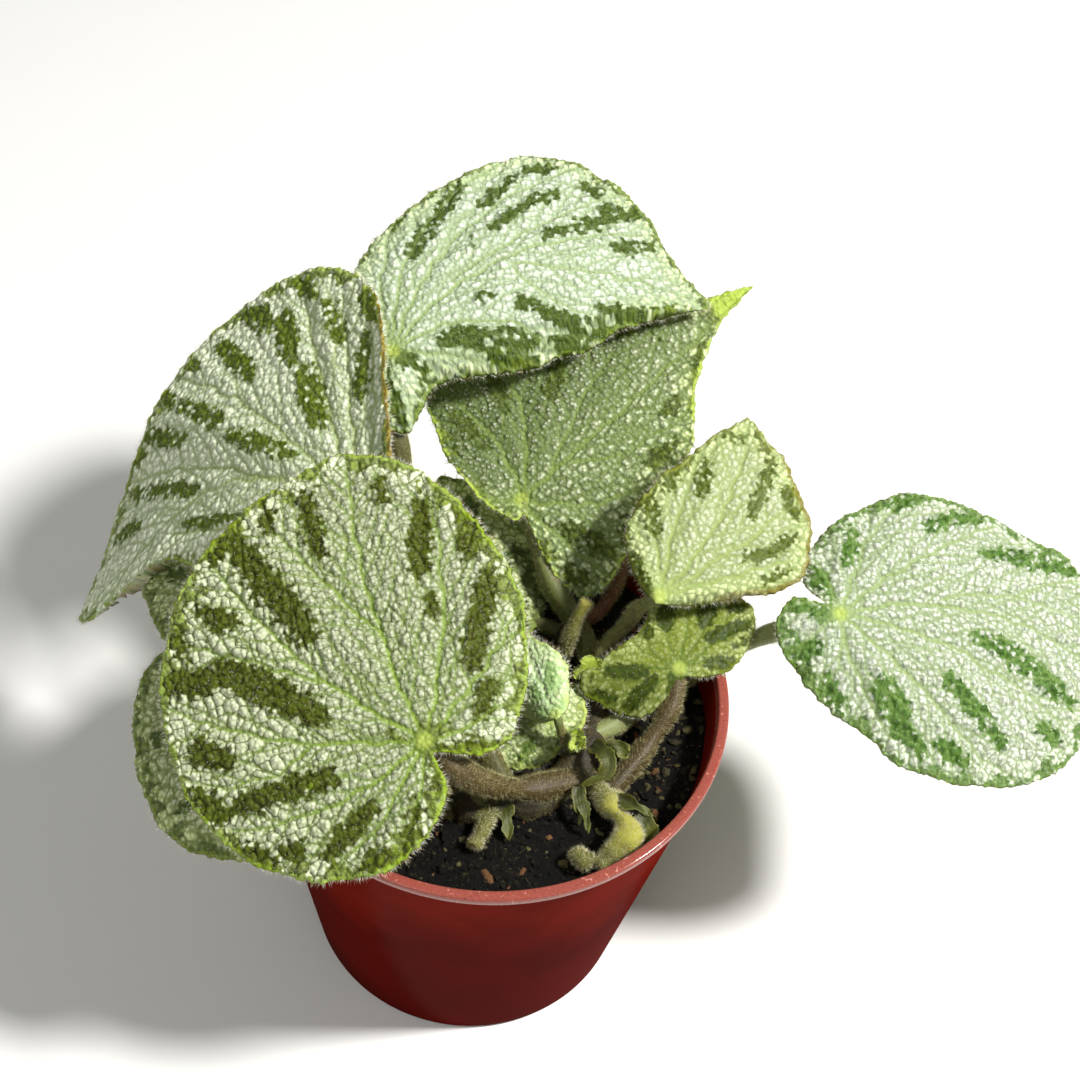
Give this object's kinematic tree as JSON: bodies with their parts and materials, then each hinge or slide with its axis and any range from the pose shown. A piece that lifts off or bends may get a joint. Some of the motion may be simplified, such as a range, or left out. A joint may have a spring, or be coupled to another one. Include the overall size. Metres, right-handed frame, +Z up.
{
  "type": "potted begonia",
  "caption": "Rhizomatous begonia with broad puckered silver-green leaves in a tapered terracotta-red nursery pot filled with potting mix.",
  "frame": {"origin": "centre of the pot's foot, on the surface it stands on", "axes": "+Z up along the pot's axis; the front leaf hangs over the pot's -Y side"},
  "size_m": [0.2535, 0.1785, 0.1537],
  "materials": {
    "pot_plastic": "semi-gloss terracotta red",
    "potting_mix": "matt and crumbly",
    "rhizome": "fuzzy",
    "leaf": "puckered and hairy"
  },
  "bodies": {
    "root": {"pot": "pot_plastic", "potting_mix": "potting_mix", "rhizome": "rhizome", "front_leaf": "leaf", "left_leaf": "leaf", "top_leaf": "leaf", "middle_leaf": "leaf", "far_right_leaf": "leaf", "upper_right_leaf": "leaf", "young_right_leaf": "leaf", "new_centre_leaf": "leaf", "low_centre_leaf": "leaf", "low_left_leaf": "leaf", "mid_left_leaf": "leaf", "back_left_leaf": "leaf", "back_right_leaf": "leaf"}
  },
  "joints": []
}
